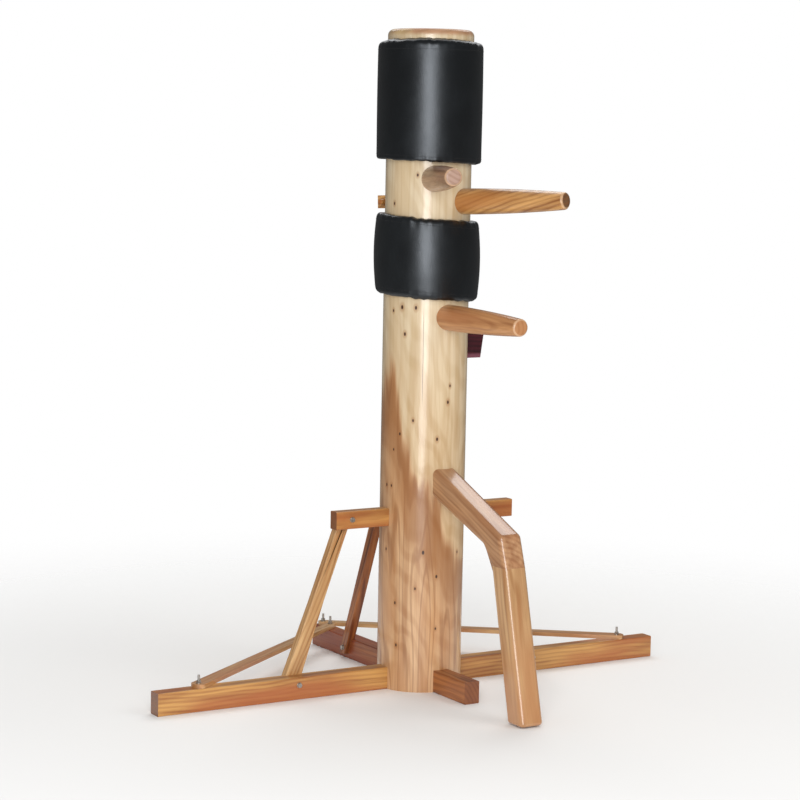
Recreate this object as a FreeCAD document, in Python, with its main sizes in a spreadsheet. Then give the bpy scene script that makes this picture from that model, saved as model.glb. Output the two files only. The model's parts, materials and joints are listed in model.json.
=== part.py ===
import FreeCAD, Part
import math
import os
import re

import Sketcher

# Free-standing wooden striking dummy, in millimetres.
# The origin is the middle of the trunk's foot, on the floor. +Z is up, -Y is the front, where
# the three arms and the leg point, and X runs along the long cross beam.

SIZES = [
    # Trunk
    ("trunk_radius", 105), ("trunk_height", 1620), ("trunk_edge", 15),
    # Clearances between pieces that move, the small rounding of sawn edges, how far a cut runs past
    # the face it leaves, and how far from the trunk's axis a blank starts before it is coped
    ("slide_gap", 0.4), ("cope_gap", 0.5), ("arris", 2.5), ("overrun", 1), ("blank_start", 80),
    # Cross-shaped foot
    ("beam_height", 55), ("cross_left", 728), ("cross_right", 712), ("cross_width", 40),
    ("keel_front", 246), ("keel_rear", 510), ("keel_width", 42),
    # Bars through the trunk that carry the struts' upper ends
    ("bar_width", 30), ("bar_height", 44), ("bar_low", 408), ("bar_left", 252), ("bar_right", 260),
    ("rear_bar_low", 362), ("rear_bar_root", 30), ("rear_bar_end", 200),
    # Struts: lapped on one side of the bar and of the beam
    ("strut_near", 12), ("strut_far", 34), ("strut_low", 12),
    ("side_strut_top", 446), ("side_strut_bend", 230), ("side_strut_width", 32.5),
    ("side_strut_top_at", 205), ("side_strut_bend_at", 285), ("side_strut_foot_at", 365),
    ("side_strut_foot_width", 47), ("right_strut_shift", 20),
    ("rear_strut_top", 404), ("rear_strut_width", 27),
    ("rear_strut_top_at", 173), ("rear_strut_foot_at", 330),
    # Flat braces on top of the beams, seen from above
    ("brace_thick", 10), ("brace_front_radius", 18), ("brace_rear_radius", 13),
    ("brace_front_at", 613), ("left_brace_rear_at", 452), ("right_brace_rear_at", 491),
    # Arms: a turned handle with a square tenon that runs through the trunk
    ("arm_root_radius", 31.5), ("arm_tip_radius", 20.5), ("arm_tip_round", 7), ("tenon_half", 16),
    ("tenon_end", 140), ("arm_spread", 23.5), ("arm_rise", 2),
    ("upper_arm_reach", 397), ("left_arm_height", 1258), ("right_arm_height", 1204),
    ("middle_arm_reach", 420), ("middle_arm_height", 927),
    # Locking pegs behind the trunk
    ("peg_radius", 7), ("peg_half", 38), ("peg_end_round", 2), ("peg_gap", 0.08),
    ("play", 6),
    # Leg: sloping thigh, and a shin that goes down from the knee
    ("leg_half", 32), ("leg_round", 14), ("foot_round", 8),
    ("leg_tenon_height", 520), ("leg_tenon_half_width", 17), ("leg_tenon_half_height", 20),
    ("thigh_root_at", 80), ("thigh_root_top", 566), ("thigh_root_low", 494),
    ("knee_top_at", 398), ("knee_top", 437), ("knee_inner_at", 323), ("knee_inner", 406),
    ("knee_joint", 363), ("knee_front_at", 423), ("knee_back_at", 361),
    ("foot_low", 3), ("foot_front_at", 511), ("foot_back_at", 443),
    ("dowel_radius", 6), ("dowel_half", 30), ("dowel_at", 390), ("dowel_apart", 13),
    # Pads: a sewn cover over a foam sleeve, closed by a flap at the back
    ("cover_thick", 2.5), ("pad_shoulder", 8), ("pad_gap", 0.3), ("flap_angle", 26), ("flap_margin", 7),
    ("upper_pad_low", 1303), ("upper_pad_high", 1592), ("upper_pad_radius", 130),
    ("lower_pad_low", 972), ("lower_pad_high", 1167), ("lower_pad_radius", 132),
    # Tapered block on the trunk's right side
    ("block_low", 817), ("block_high", 886), ("block_low_reach", 151), ("block_high_reach", 161),
    ("block_half", 17), ("block_tenon_radius", 11), ("block_tenon_root", 55), ("block_shift", 2),
    # Fasteners
    ("bolt_radius", 3), ("hex_radius", 5.8), ("hex_height", 4), ("nut_height", 5),
    ("washer_radius", 6.5), ("washer_thick", 1.6), ("thread_out", 4),
    ("stud_top", 85), ("sunk_radius", 12), ("sunk_depth", 9),
    ("bar_bolt_at", 208), ("bar_bolt_height", 431), ("foot_bolt_at", 352), ("foot_bolt_height", 36),
    ("rear_bar_bolt_at", 181), ("rear_foot_bolt_at", 322), ("rear_foot_bolt_height", 30),
    ("coach_screw_at", 62), ("coach_screw_top", 130),
]

doc = FreeCAD.newDocument("StrikingDummy")
sheet = doc.addObject("Spreadsheet::Sheet", "Sizes")
for row, (alias, amount) in enumerate(SIZES, start=1):
    sheet.set("A%d" % row, alias.replace("_", " "))
    sheet.set("B%d" % row, str(amount))
    sheet.setAlias("B%d" % row, alias)
doc.recompute()

ALIASES = {alias for alias, amount in SIZES}

# Two places count as the same when they are this near, and two directions when their cosine is
# at least this much.
NEAR = 0.01
PARALLEL = 0.999

# Turns that lay a solid which runs along +Z along another axis.
TURNS = {"x": FreeCAD.Rotation(FreeCAD.Vector(0, 1, 0), 90),
         "y": FreeCAD.Rotation(FreeCAD.Vector(1, 0, 0), -90),
         "z": FreeCAD.Rotation()}


# ---------------------------------------------------------------- sheet and sketch helpers

def bound(formula):
    """Turn a formula in plain alias words into one that reads the sheet."""
    def cell(found):
        word = found.group()
        return "Sizes." + word if word in ALIASES else word
    return re.sub("[a-z_]+", cell, str(formula))


def number(formula):
    """The present value of a formula."""
    found = sheet.evalExpression(bound(formula))
    return float(getattr(found, "Value", found))


def bind(thing, target, formula):
    thing.setExpression(target, bound(formula))


def new_body(name):
    return doc.addObject("PartDesign::Body", name)


def sketch_on(body, name, plane, offset=None):
    """An empty sketch on one of the body's origin planes, moved along the plane's normal."""
    sketch = body.newObject("Sketcher::SketchObject", name)
    support = [item for item in body.Origin.OriginFeatures if item.Role == plane][0]
    sketch.AttachmentSupport = [(support, "")]
    sketch.MapMode = "FlatFace"
    if offset is not None:
        bind(sketch, "AttachmentOffset.Base.z", offset)
    return sketch


def pin_point(sketch, geometry, end, point):
    """Fix one end of a sketch line or arc at a point given by two formulas."""
    for kind, formula in zip(("DistanceX", "DistanceY"), point):
        constraint = Sketcher.Constraint(kind, -1, 1, geometry, end, number(formula))
        index = sketch.addConstraint(constraint)
        bind(sketch, "Constraints[%d]" % index, formula)


def draw_polygon(sketch, points):
    """A closed outline of straight lines through points given as pairs of formulas."""
    corners = [FreeCAD.Vector(number(x), number(y), 0) for x, y in points]
    count = len(corners)
    for index in range(count):
        line = Part.LineSegment(corners[index], corners[(index + 1) % count])
        sketch.addGeometry(line, False)
    for index in range(count):
        sketch.addConstraint(Sketcher.Constraint("Coincident", index, 2, (index + 1) % count, 1))
        pin_point(sketch, index, 1, points[index])


def draw_circle(sketch, centre, radius):
    middle = FreeCAD.Vector(number(centre[0]), number(centre[1]), 0)
    circle = Part.Circle(middle, FreeCAD.Vector(0, 0, 1), number(radius))
    sketch.addGeometry(circle, False)
    pin_point(sketch, 0, 3, centre)
    index = sketch.addConstraint(Sketcher.Constraint("Radius", 0, number(radius)))
    bind(sketch, "Constraints[%d]" % index, radius)


def pad(body, sketch, length, name="pad"):
    feature = body.newObject("PartDesign::Pad", body.Name + "_" + name)
    feature.Profile = sketch
    bind(feature, "Length", length)
    doc.recompute()
    return feature


def pocket(body, sketch, depth, name):
    """Cut against the sketch's normal, and make sure that something was cut."""
    before = body.Shape.Volume
    feature = body.newObject("PartDesign::Pocket", name)
    feature.Profile = sketch
    bind(feature, "Length", depth)
    doc.recompute()
    if body.Shape.Volume >= before:
        raise RuntimeError(name + " cuts nothing")
    return feature


def revolve(body, sketch, axis, angle=360):
    feature = body.newObject("PartDesign::Revolution", body.Name + "_turned")
    feature.Profile = sketch
    feature.ReferenceAxis = (sketch, [axis])
    feature.Midplane = True
    bind(feature, "Angle", angle)
    doc.recompute()
    return feature


def round_edges(body, chosen, radius, name):
    """Round the edges of the body's last feature for which chosen(edge) is true."""
    base = body.Tip
    names = ["Edge%d" % (i + 1) for i, edge in enumerate(base.Shape.Edges) if chosen(edge)]
    feature = body.newObject("PartDesign::Fillet", body.Name + "_" + name)
    feature.Base = (base, names)
    bind(feature, "Radius", radius)
    doc.recompute()
    return feature


def runs_along(axis):
    """A test for straight edges that lie along one axis."""
    def test(edge):
        if edge.Curve.TypeId != "Part::GeomLine":
            return False
        return abs(getattr(edge.Curve.Direction, axis)) > PARALLEL
    return test


def prism(name, plane, points, low, high):
    """A body with a straight-sided outline, padded from low to high along the plane's normal."""
    body = new_body(name)
    sketch = sketch_on(body, name + "_outline", plane, low)
    draw_polygon(sketch, points)
    pad(body, sketch, "(%s) - (%s)" % (high, low))
    return body


def rectangle(x_low, x_high, y_low, y_high):
    return [(x_low, y_low), (x_high, y_low), (x_high, y_high), (x_low, y_high)]


def block(name, x_span, y_span, z_span, eased=None):
    """A sawn bar as a body; its edges along the axis named by eased are rounded a little."""
    body = prism(name, "XY_Plane", rectangle(*x_span, *y_span), *z_span)
    if eased:
        round_edges(body, runs_along(eased), "arris", "arris")
    return body


def notch(body, name, x_span, y_span, z_span):
    """A box-shaped cut in a body."""
    sketch = sketch_on(body, name + "_outline", "XY_Plane", z_span[1])
    draw_polygon(sketch, rectangle(*x_span, *y_span))
    pocket(body, sketch, "(%s) - (%s)" % (z_span[1], z_span[0]), name)


def drill(body, name, plane, centre, radius, low, high):
    """A round hole along the plane's normal, from high down to low."""
    sketch = sketch_on(body, name + "_circle", plane, high)
    draw_circle(sketch, centre, radius)
    pocket(body, sketch, "(%s) - (%s)" % (high, low), name)


def stand(solid, point, axis):
    """Put a solid that runs up from the origin at a point, along +X, +Y or +Z."""
    solid.Placement.Rotation = TURNS[axis]
    for letter, formula in zip("xyz", point):
        bind(solid, "Placement.Base." + letter, formula)


def rod(name, point, axis, length, radius):
    """A cylinder that starts at a point and runs along +X, +Y or +Z."""
    cylinder = doc.addObject("Part::Cylinder", name)
    bind(cylinder, "Radius", radius)
    bind(cylinder, "Height", length)
    stand(cylinder, point, axis)
    return cylinder


def hexagon(name, point, axis, height):
    """A six-sided head or nut that starts at a point and runs along +X, +Y or +Z."""
    solid = doc.addObject("Part::Prism", name)
    solid.Polygon = 6
    bind(solid, "Circumradius", "hex_radius")
    bind(solid, "Height", height)
    stand(solid, point, axis)
    return solid


def fuse(name, pieces):
    joined = doc.addObject("Part::MultiFuse", name)
    joined.Shapes = pieces
    joined.Refine = True
    return joined


def cut(name, base, tools):
    """The base less one tool, or less several tools fused together."""
    result = doc.addObject("Part::Cut", name)
    result.Base = base
    result.Tool = tools[0] if len(tools) == 1 else fuse(name + "_tools", tools)
    return result


def group(name, pieces):
    gathered = doc.addObject("Part::Compound", name)
    gathered.Links = pieces
    return gathered


def along(point, axis, distance):
    """A point given by formulas, moved along one axis."""
    moved = list(point)
    place = "xyz".index(axis)
    moved[place] = "(%s) + (%s)" % (point[place], distance)
    return tuple(moved)


def aim(thing, height, heading, rise):
    """Stand a piece whose length is its own X axis in the trunk: turned, then tipped up."""
    formula = "placement(vector(0; 0; %s); rotation(%s; -(%s); 0))" % (height, heading, rise)
    bind(thing, "Placement", formula)


# ---------------------------------------------------------------- wooden foot and struts

# The rear strut's bolts with their heights, then places on the beams as X and Y.
REAR_BOLTS = [("rear_bar_bolt", "rear_bar_low + bar_height / 2"),
              ("rear_foot_bolt", "rear_foot_bolt_height")]
SCREW_SPOTS = [("-coach_screw_at", "0"), ("coach_screw_at", "0"),
               ("0", "-coach_screw_at"), ("0", "coach_screw_at")]
BRACE_SPOTS = [("-brace_front_at", "0"), ("brace_front_at", "0"),
               ("0", "left_brace_rear_at"), ("0", "right_brace_rear_at")]


def strut_at(side, at):
    """X of a spot of the left (-1) or the right (1) side strut, which stands nearer to the trunk."""
    return "-" + at if side < 0 else "(%s - right_strut_shift)" % at


def strut_outline(side):
    """Outline of a side strut seen from the front, on the left (-1) or the right (1)."""
    half, foot_half = "side_strut_width / 2", "side_strut_foot_width / 2"
    spots = [("side_strut_top_at", half, "side_strut_top"),
             ("side_strut_bend_at", half, "side_strut_bend"),
             ("side_strut_foot_at", foot_half, "strut_low")]
    outer = [(strut_at(side, at) + " + %d * %s" % (side, wide), tall) for at, wide, tall in spots]
    inner = [(strut_at(side, at) + " - %d * %s" % (side, wide), tall)
             for at, wide, tall in reversed(spots)]
    return outer + inner


def side_strut(name, side):
    # The XZ plane's normal points to -Y, so the strut lies between -strut_far and -strut_near.
    body = prism(name, "XZ_Plane", strut_outline(side), "-strut_far", "-strut_near")
    for spot in ("bar_bolt", "foot_bolt"):
        centre = (strut_at(side, spot + "_at"), spot + "_height")
        drill(body, name + "_" + spot, "XZ_Plane", centre, "bolt_radius",
              "-strut_far - overrun", "-strut_near + overrun")
    return body


def rear_strut(name):
    half = "rear_strut_width / 2"
    points = [("rear_strut_top_at - " + half, "rear_strut_top"),
              ("rear_strut_top_at + " + half, "rear_strut_top"),
              ("rear_strut_foot_at + " + half, "strut_low"),
              ("rear_strut_foot_at - " + half, "strut_low")]
    body = prism(name, "YZ_Plane", points, "-strut_far", "-strut_near")
    for spot, height in REAR_BOLTS:
        drill(body, name + "_" + spot, "YZ_Plane", (spot + "_at", height), "bolt_radius",
              "-strut_far - overrun", "-strut_near + overrun")
    return body


left_strut = side_strut("left_strut", -1)
right_strut = side_strut("right_strut", 1)
back_strut = rear_strut("rear_strut")


def vertical_holes(body, spots, name):
    """Bolt holes with a sunk seat for the head in the underside of a beam."""
    for place, spot in enumerate(spots):
        label = "%s_%s%d" % (body.Name, name, place)
        drill(body, label, "XY_Plane", spot, "bolt_radius", "-overrun", "beam_height + overrun")
        drill(body, label + "_seat", "XY_Plane", spot, "sunk_radius", "-overrun", "sunk_depth")


# The two beams cross in a half lap: the cross beam keeps its lower half, the keel its upper half.
cross_blank = block("cross_beam_blank", ("-cross_left", "cross_right"),
                    ("-cross_width / 2", "cross_width / 2"), ("0", "beam_height"), "x")
notch(cross_blank, "cross_lap", ("-keel_width / 2", "keel_width / 2"),
      ("-cross_width", "cross_width"), ("beam_height / 2", "beam_height + overrun"))
vertical_holes(cross_blank, BRACE_SPOTS[:2], "stud")
vertical_holes(cross_blank, SCREW_SPOTS[:2], "screw")
for side in (-1, 1):
    drill(cross_blank, "cross_bolt_hole%d" % (side + 1), "XZ_Plane",
          (strut_at(side, "foot_bolt_at"), "foot_bolt_height"), "bolt_radius", "-cross_width", "cross_width")
cross_beam = cut("cross_beam", cross_blank, [left_strut, right_strut])

keel_blank = block("keel_blank", ("-keel_width / 2", "keel_width / 2"),
                   ("-keel_front", "keel_rear"), ("0", "beam_height"), "y")
notch(keel_blank, "keel_lap", ("-keel_width", "keel_width"),
      ("-cross_width / 2", "cross_width / 2"), ("-overrun", "beam_height / 2"))
vertical_holes(keel_blank, BRACE_SPOTS[2:], "stud")
vertical_holes(keel_blank, SCREW_SPOTS[2:], "screw")
drill(keel_blank, "keel_bolt_hole", "YZ_Plane", ("rear_foot_bolt_at", "rear_foot_bolt_height"),
      "bolt_radius", "-keel_width", "keel_width")
keel = cut("front_rear_beam", keel_blank, [back_strut])

bar_blank = block("crossbar_blank", ("-bar_left", "bar_right"), ("-bar_width / 2", "bar_width / 2"),
                  ("bar_low", "bar_low + bar_height"), "x")
for side in (-1, 1):
    drill(bar_blank, "crossbar_hole%d" % (side + 1), "XZ_Plane",
          (strut_at(side, "bar_bolt_at"), "bar_bolt_height"), "bolt_radius", "-bar_width", "bar_width")
crossbar = cut("upper_crossbar", bar_blank, [left_strut, right_strut])

rear_bar_blank = block("rear_bar_blank", ("-bar_width / 2", "bar_width / 2"),
                       ("rear_bar_root", "rear_bar_end"),
                       ("rear_bar_low", "rear_bar_low + bar_height"), "y")
drill(rear_bar_blank, "rear_bar_hole", "YZ_Plane", (REAR_BOLTS[0][0] + "_at", REAR_BOLTS[0][1]),
      "bolt_radius", "-bar_width", "bar_width")
rear_bar = cut("upper_rear_bar", rear_bar_blank, [back_strut])


def brace(name, side, rear_at):
    """A flat bar with round ends, wider at the front, from the cross beam to the keel."""
    span = "sqrt(brace_front_at^2 + %s^2)" % rear_at
    points = [("0", "-brace_front_radius"), (span, "-brace_rear_radius"),
              (span, "brace_rear_radius"), ("0", "brace_front_radius")]
    bar = prism(name + "_bar", "XY_Plane", points, "0", "brace_thick")
    pieces = [bar]
    for end, at in (("front", "0"), ("rear", span)):
        pieces.append(rod("%s_%s_end" % (name, end), (at, "0", "0"), "z", "brace_thick",
                          "brace_%s_radius" % end))
    holes = [rod("%s_hole%d" % (name, place), (at, "0", "-overrun"), "z", "brace_thick + 2 * overrun",
                 "bolt_radius")
             for place, at in enumerate(("0", span))]
    whole = cut(name, fuse(name + "_blank", pieces), holes)
    # The left brace starts out towards +X and turns to +Y, the right one towards -X and back to +Y.
    heading = "%d deg + %d * atan(%s / brace_front_at)" % (90 + 90 * side, -side, rear_at)
    place = "placement(vector(%d * brace_front_at; 0; beam_height); rotation(%s; 0; 0))"
    bind(whole, "Placement", place % (side, heading))
    return whole


left_brace = brace("left_brace", -1, "left_brace_rear_at")
right_brace = brace("right_brace", 1, "right_brace_rear_at")


# ---------------------------------------------------------------- arms and their pegs

def arm(name, reach, height, heading, rise):
    """A turned handle that swells gently from tip to root, coped to the trunk, with its tenon."""
    body = new_body(name)
    sketch = sketch_on(body, name + "_profile", "XY_Plane")
    core, root, tip = "blank_start", "arm_root_radius", "arm_tip_radius"
    corners = [(core, "0"), (reach, "0"), (reach, tip), ("trunk_radius", root), (core, root)]
    spots = [FreeCAD.Vector(number(x), number(y), 0) for x, y in corners]
    drop = "(arm_root_radius - arm_tip_radius)"
    bow = "((%s - trunk_radius)^2 + %s^2) / (2 * %s)" % (reach, drop, drop)
    centre = FreeCAD.Vector(spots[3].x, spots[3].y - number(bow), 0)
    start = math.atan2(spots[2].y - centre.y, spots[2].x - centre.x)
    for index in range(5):
        if index == 2:
            circle = Part.Circle(centre, FreeCAD.Vector(0, 0, 1), number(bow))
            sketch.addGeometry(Part.ArcOfCircle(circle, start, math.pi / 2), False)
        else:
            sketch.addGeometry(Part.LineSegment(spots[index], spots[(index + 1) % 5]), False)
    for index in (0, 1, 3, 4):
        pin_point(sketch, index, 1, corners[index])
        pin_point(sketch, index, 2, corners[(index + 1) % 5])
    sketch.addConstraint(Sketcher.Constraint("Coincident", 2, 1, 1, 2))
    sketch.addConstraint(Sketcher.Constraint("Coincident", 2, 2, 3, 1))
    index = sketch.addConstraint(Sketcher.Constraint("Radius", 2, number(bow)))
    bind(sketch, "Constraints[%d]" % index, bow)
    revolve(body, sketch, "H_Axis")
    far = number(reach) - NEAR
    round_edges(body, lambda edge: min(v.X for v in edge.Vertexes) > far
                and edge.Curve.TypeId == "Part::GeomCircle", "arm_tip_round", "tip")

    # The cope follows the round trunk, so its sketch is level although the arm tips up.
    cope = sketch_on(body, name + "_cope_circle", "XY_Plane")
    upright = "placement(vector(2 * arm_root_radius * sin(%s); 0; 2 * arm_root_radius * cos(%s));"
    bind(cope, "AttachmentOffset", (upright + " rotation(0; %s; 0))") % (rise, rise, rise))
    draw_circle(cope, ("0", "0"), "trunk_radius + cope_gap")
    pocket(body, cope, "4 * arm_root_radius", name + "_cope")

    tenon = sketch_on(body, name + "_tenon_outline", "XY_Plane", "-tenon_half")
    draw_polygon(tenon, rectangle("-tenon_end", "trunk_radius + tenon_half", "-tenon_half", "tenon_half"))
    pad(body, tenon, "2 * tenon_half", "tenon")
    peg_at = "-(trunk_radius + play + peg_radius)"
    drill(body, name + "_peg_hole", "XZ_Plane", (peg_at, "0"), "peg_radius + peg_gap",
          "-tenon_half - overrun", "tenon_half + overrun")
    aim(body, height, heading, rise)
    return body


def peg(name, height, heading, rise):
    """A dowel across the tenon, behind the trunk, with rounded ends."""
    body = new_body(name)
    sketch = sketch_on(body, name + "_circle", "XZ_Plane", "-peg_half")
    draw_circle(sketch, ("-(trunk_radius + play + peg_radius)", "0"), "peg_radius")
    pad(body, sketch, "2 * peg_half")
    round_edges(body, lambda edge: edge.Curve.TypeId == "Part::GeomCircle", "peg_end_round", "ends")
    aim(body, height, heading, rise)
    return body


ARMS = [("upper_arm_left", "upper_arm_reach", "left_arm_height", "-90 - arm_spread", "arm_rise"),
        ("upper_arm_right", "upper_arm_reach", "right_arm_height", "-90 + arm_spread", "arm_rise"),
        ("middle_arm", "middle_arm_reach", "middle_arm_height", "-90", "0")]

arms = {}
pegs = {}
mortises = []
for name, reach, height, heading, rise in ARMS:
    arms[name] = arm(name, reach, height, heading, rise)
    pegs[name + "_peg"] = peg(name + "_peg", height, heading, rise)
    room = "tenon_half + slide_gap"
    wide = ("-(%s)" % room, room)
    through = ("-trunk_radius - tenon_half", "trunk_radius + tenon_half")
    mortise = block(name + "_mortise", through, wide, wide)
    aim(mortise, height, heading, rise)
    mortises.append(mortise)


# ---------------------------------------------------------------- leg

def outline_edge(edge):
    """An edge of a leg piece's side face, away from the knee joint, the foot and the trunk."""
    ends = [vertex.Point for vertex in edge.Vertexes]
    if any(abs(abs(end.x) - number("leg_half")) > NEAR for end in ends):
        return False
    if all(abs(end.y + number("thigh_root_at")) < NEAR for end in ends):
        return False
    return not any(all(abs(end.z - number(level)) < NEAR for end in ends)
                   for level in ("knee_joint", "foot_low"))


def thigh():
    points = [("-thigh_root_at", "thigh_root_top"), ("-thigh_root_at", "thigh_root_low"),
              ("-knee_inner_at", "knee_inner"), ("-knee_back_at", "knee_joint"),
              ("-knee_front_at", "knee_joint"), ("-knee_top_at", "knee_top")]
    body = prism("leg_thigh", "YZ_Plane", points, "-leg_half", "leg_half")
    round_edges(body, outline_edge, "leg_round", "edges")
    drill(body, "thigh_cope", "XY_Plane", ("0", "0"), "trunk_radius + cope_gap",
          "knee_joint", "thigh_root_top + overrun")
    for side in (-1, 1):
        drill(body, "thigh_dowel_hole%d" % (side + 1), "XY_Plane",
              ("%d * dowel_apart" % side, "-dowel_at"), "dowel_radius",
              "knee_joint - overrun", "knee_joint + dowel_half")
    tenon = sketch_on(body, "thigh_tenon_outline", "XY_Plane", "leg_tenon_height - leg_tenon_half_height")
    draw_polygon(tenon, rectangle("-leg_tenon_half_width", "leg_tenon_half_width",
                                  "-trunk_radius - leg_tenon_half_height", "tenon_end"))
    pad(body, tenon, "2 * leg_tenon_half_height", "tenon")
    drill(body, "thigh_peg_hole", "YZ_Plane", ("trunk_radius + play + peg_radius", "leg_tenon_height"),
          "peg_radius + peg_gap", "-leg_half", "leg_half")
    return body


def shin():
    points = [("-knee_back_at", "knee_joint"), ("-foot_back_at", "foot_low"),
              ("-foot_front_at", "foot_low"), ("-knee_front_at", "knee_joint")]
    body = prism("leg_shin", "YZ_Plane", points, "-leg_half", "leg_half")
    round_edges(body, outline_edge, "leg_round", "edges")
    low = number("foot_low") + NEAR
    round_edges(body, lambda edge: all(v.Z < low for v in edge.Vertexes), "foot_round", "foot")
    for side in (-1, 1):
        drill(body, "shin_dowel_hole%d" % (side + 1), "XY_Plane",
              ("%d * dowel_apart" % side, "-dowel_at"), "dowel_radius",
              "knee_joint - dowel_half", "knee_joint + overrun")
    return body


leg_thigh = thigh()
leg_shin = shin()
leg_peg = peg("leg_peg", "leg_tenon_height", "-90", "0")
leg_mortise = block("leg_mortise",
                    ("-leg_tenon_half_width - slide_gap", "leg_tenon_half_width + slide_gap"),
                    ("-trunk_radius - tenon_half", "trunk_radius + tenon_half"),
                    ("leg_tenon_height - leg_tenon_half_height - slide_gap",
                     "leg_tenon_height + leg_tenon_half_height + slide_gap"))
knee_dowels = group("knee_dowels", [
    rod("knee_dowel%d" % (side + 1),
        ("%d * dowel_apart" % side, "-dowel_at", "knee_joint - dowel_half"), "z",
        "2 * dowel_half", "dowel_radius") for side in (-1, 1)])


# ---------------------------------------------------------------- pads

def ring(name, points, angle=360):
    """A body turned about the trunk's axis from points given as radius and height."""
    body = new_body(name)
    sketch = sketch_on(body, name + "_profile", "YZ_Plane")
    draw_polygon(sketch, points)
    revolve(body, sketch, "V_Axis", angle)
    return body


def pad_set(name):
    """Foam sleeve, sewn cover that wraps it and turns in at both ends, and closing flap."""
    low, high, radius = name + "_low", name + "_high", name + "_radius"
    inner = "trunk_radius + pad_gap"
    skin, shoulder = "cover_thick", "pad_shoulder"
    outside = [(inner, low), ("%s - %s" % (radius, shoulder), low),
               (radius, "%s + %s" % (low, shoulder)), (radius, "%s - %s" % (high, shoulder)),
               ("%s - %s" % (radius, shoulder), high), (inner, high)]
    inside = [(inner, "%s - %s" % (high, skin)),
              ("%s - %s" % (radius, shoulder), "%s - %s" % (high, skin)),
              ("%s - %s" % (radius, skin), "%s - %s" % (high, shoulder)),
              ("%s - %s" % (radius, skin), "%s + %s" % (low, shoulder)),
              ("%s - %s" % (radius, shoulder), "%s + %s" % (low, skin)),
              (inner, "%s + %s" % (low, skin))]
    cover = ring(name + "_cover", outside + inside)
    foam = ring(name + "_foam", inside)
    ends = ["%s + %s + flap_margin" % (low, shoulder), "%s - %s - flap_margin" % (high, shoulder)]
    flap = ring(name + "_flap", rectangle(radius, radius + " + cover_thick", *ends), "flap_angle")
    return [cover, foam, flap]


pads = pad_set("upper_pad") + pad_set("lower_pad")


# ---------------------------------------------------------------- side block

def side_block():
    points = [("blank_start", "block_low"), ("block_low_reach", "block_low"),
              ("block_high_reach", "block_high"), ("blank_start", "block_high")]
    body = prism("side_block_body", "XZ_Plane", points,
                 "block_shift - block_half", "block_shift + block_half")
    drill(body, "side_block_cope", "XY_Plane", ("0", "0"), "trunk_radius",
          "block_low - overrun", "block_high + overrun")
    stub = rod("side_block_stub",
               ("block_tenon_root", "-block_shift", "(block_low + block_high) / 2"), "x",
               "trunk_radius - block_tenon_root + block_half", "block_tenon_radius")
    return fuse("side_block", [body, stub])


side_piece = side_block()


# ---------------------------------------------------------------- fasteners

bolts, washers, nuts = [], [], []


def washer(name, point, axis):
    outside = rod(name + "_disc", point, axis, "washer_thick", "washer_radius")
    inside = rod(name + "_hole", point, axis, "washer_thick", "bolt_radius")
    return cut(name, outside, [inside])


def nut(name, point, axis):
    return cut(name, hexagon(name + "_block", point, axis, "nut_height"),
               [rod(name + "_hole", point, axis, "nut_height", "bolt_radius")])


def screw(name, seat, axis, length):
    """A hexagon head below its seat and a round shank beyond it."""
    head = hexagon(name + "_head", along(seat, axis, "-hex_height"), axis, "hex_height")
    return fuse(name, [head, rod(name + "_shank", seat, axis, length, "bolt_radius")])


def strut_bolt(name, axis, near, far, middle):
    """A bolt through a bar and the strut lapped on it, with a washer under head and nut."""
    def spot(distance):
        place = list(middle)
        place.insert("xyz".index(axis), distance)
        return tuple(place)
    length = "(%s) - (%s) + 2 * washer_thick + nut_height + thread_out" % (far, near)
    bolts.append(screw(name, spot("%s - washer_thick" % near), axis, length))
    washers.append(washer(name + "_head_washer", spot("%s - washer_thick" % near), axis))
    washers.append(washer(name + "_nut_washer", spot(far), axis))
    nuts.append(nut(name + "_nut", spot("%s + washer_thick" % far), axis))


for side, word in ((-1, "left"), (1, "right")):
    strut_bolt(word + "_bar_bolt", "y", "-bar_width / 2", "strut_far",
               (strut_at(side, "bar_bolt_at"), "bar_bolt_height"))
    strut_bolt(word + "_foot_bolt", "y", "-cross_width / 2", "strut_far",
               (strut_at(side, "foot_bolt_at"), "foot_bolt_height"))
for (spot, height), face in zip(REAR_BOLTS, ("bar_width / 2", "keel_width / 2")):
    strut_bolt(spot, "x", "-strut_far", face, (spot + "_at", height))

studs, stud_washers, stud_nuts = [], [], []
for place, (x, y) in enumerate(BRACE_SPOTS):
    name = "stud%d" % place
    top = "beam_height + brace_thick"
    studs.append(screw(name, (x, y, "sunk_depth"), "z", "stud_top - sunk_depth"))
    stud_washers.append(washer(name + "_washer", (x, y, top), "z"))
    stud_nuts.append(nut(name + "_nut", (x, y, top + " + washer_thick"), "z"))

screws = [screw("coach_screw%d" % place, (x, y, "sunk_depth"), "z", "coach_screw_top - sunk_depth")
          for place, (x, y) in enumerate(SCREW_SPOTS)]


# ---------------------------------------------------------------- trunk

def trunk():
    """A round log with the foot's cross slot and a mortise for every piece that goes through."""
    log = new_body("trunk_log")
    sketch = sketch_on(log, "trunk_circle", "XY_Plane")
    draw_circle(sketch, ("0", "0"), "trunk_radius")
    pad(log, sketch, "trunk_height")
    high = number("trunk_height") - NEAR
    round_edges(log, lambda edge: all(v.Z > high for v in edge.Vertexes), "trunk_edge", "top")
    across = ("-trunk_radius - overrun", "trunk_radius + overrun")
    deep = ("-overrun", "beam_height")
    slots = [block("cross_slot", across, ("-cross_width / 2", "cross_width / 2"), deep),
             block("keel_slot", ("-keel_width / 2", "keel_width / 2"), across, deep)]
    return cut("trunk", log, slots + [crossbar, rear_bar, leg_mortise, side_piece] + mortises + screws)


whole_trunk = trunk()


# ---------------------------------------------------------------- names, checks and files

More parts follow.
